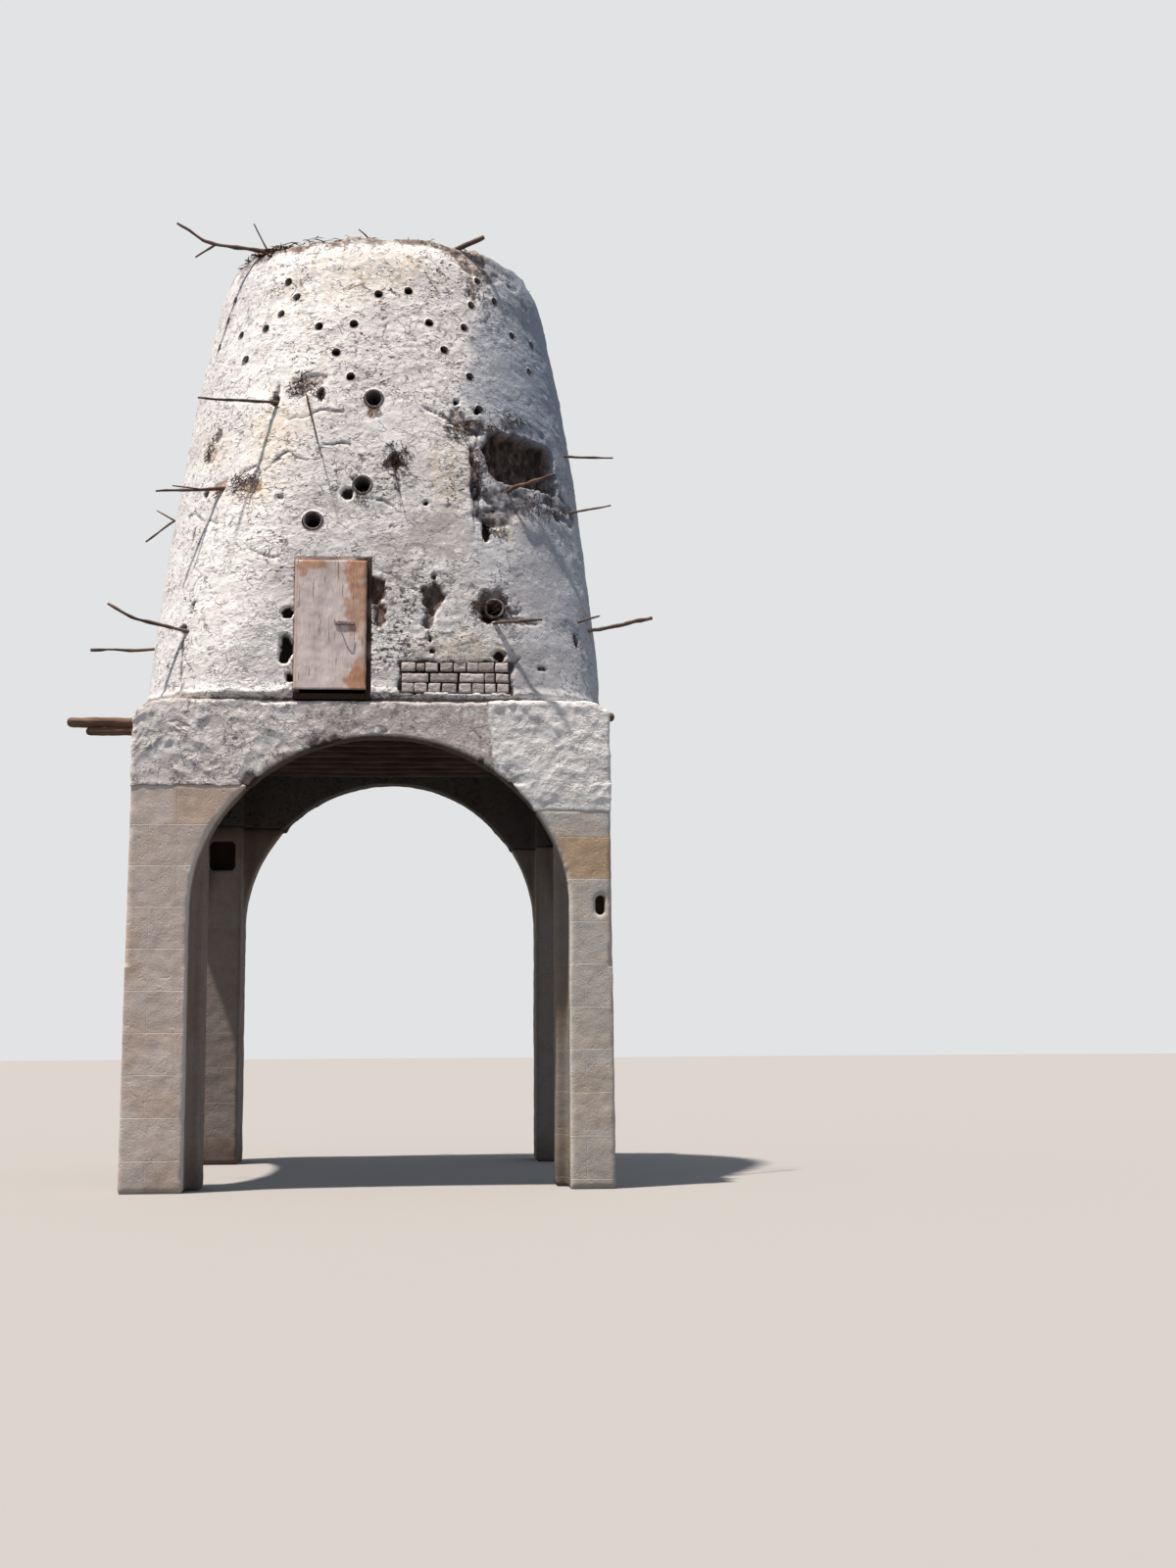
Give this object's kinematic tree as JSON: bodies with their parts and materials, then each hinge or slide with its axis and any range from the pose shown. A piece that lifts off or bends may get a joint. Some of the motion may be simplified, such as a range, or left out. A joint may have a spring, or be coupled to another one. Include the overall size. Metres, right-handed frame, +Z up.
{
  "type": "dovecote",
  "caption": "Whitewashed mud pigeon tower tapering from a rounded square to a round rim, on a square stone base open through arches, with a timber hatch, clay entry pots and stick perches.",
  "frame": {"origin": "middle of the square footprint, at ground level", "axes": "+Z up, -Y out of the front with the hatch, +X to the right as seen from the front"},
  "size_m": [6.2487, 5.2236, 10.6318],
  "materials": {
    "limestone": "rough sawn limestone blocks, dusty",
    "base_plaster": "thick trowelled lime plaster over rubble",
    "tower_plaster": "lumpy whitewashed mud plaster",
    "rammed_mud": "dry rammed mud",
    "fired_clay": "unglazed fired clay, dusty",
    "hatch_wood": "bleached board with old brown paint",
    "iron": "rusted iron",
    "beam_wood": "weathered palm trunk",
    "stick_wood": "grey weathered sticks"
  },
  "bodies": {
    "root": {"back_arch_wall": "base_plaster", "back_left_corner": "base_plaster", "back_left_pier": "limestone", "back_right_corner": "base_plaster", "back_right_pier": "limestone", "ceiling_beams": "beam_wood", "entry_pots": "fired_clay", "floor_boards": "beam_wood", "front_arch_wall": "base_plaster", "front_left_corner": "base_plaster", "front_left_pier": "limestone", "front_right_corner": "base_plaster", "front_right_pier": "limestone", "hatch_frame": "hatch_wood", "hatch_latch": "iron", "hatch_leaf": "hatch_wood", "high_log": "beam_wood", "left_arch_wall": "base_plaster", "left_perches": "stick_wood", "log_end": "beam_wood", "low_log": "beam_wood", "mud_floor": "rammed_mud", "mud_roof": "rammed_mud", "rear_perches": "stick_wood", "right_arch_wall": "base_plaster", "right_perches": "stick_wood", "rim_branch": "stick_wood", "rim_twigs": "stick_wood", "roof_logs": "beam_wood", "tower_back_left_lower": "tower_plaster", "tower_back_left_upper": "tower_plaster", "tower_back_lower": "tower_plaster", "tower_back_right_lower": "tower_plaster", "tower_back_right_upper": "tower_plaster", "tower_back_upper": "tower_plaster", "tower_front_left_lower": "tower_plaster", "tower_front_left_upper": "tower_plaster", "tower_front_lower": "tower_plaster", "tower_front_right_lower": "tower_plaster", "tower_front_right_upper": "tower_plaster", "tower_front_upper": "tower_plaster", "tower_left_lower": "tower_plaster", "tower_left_upper": "tower_plaster", "tower_right_lower": "tower_plaster", "tower_right_upper": "tower_plaster"}
  },
  "joints": []
}
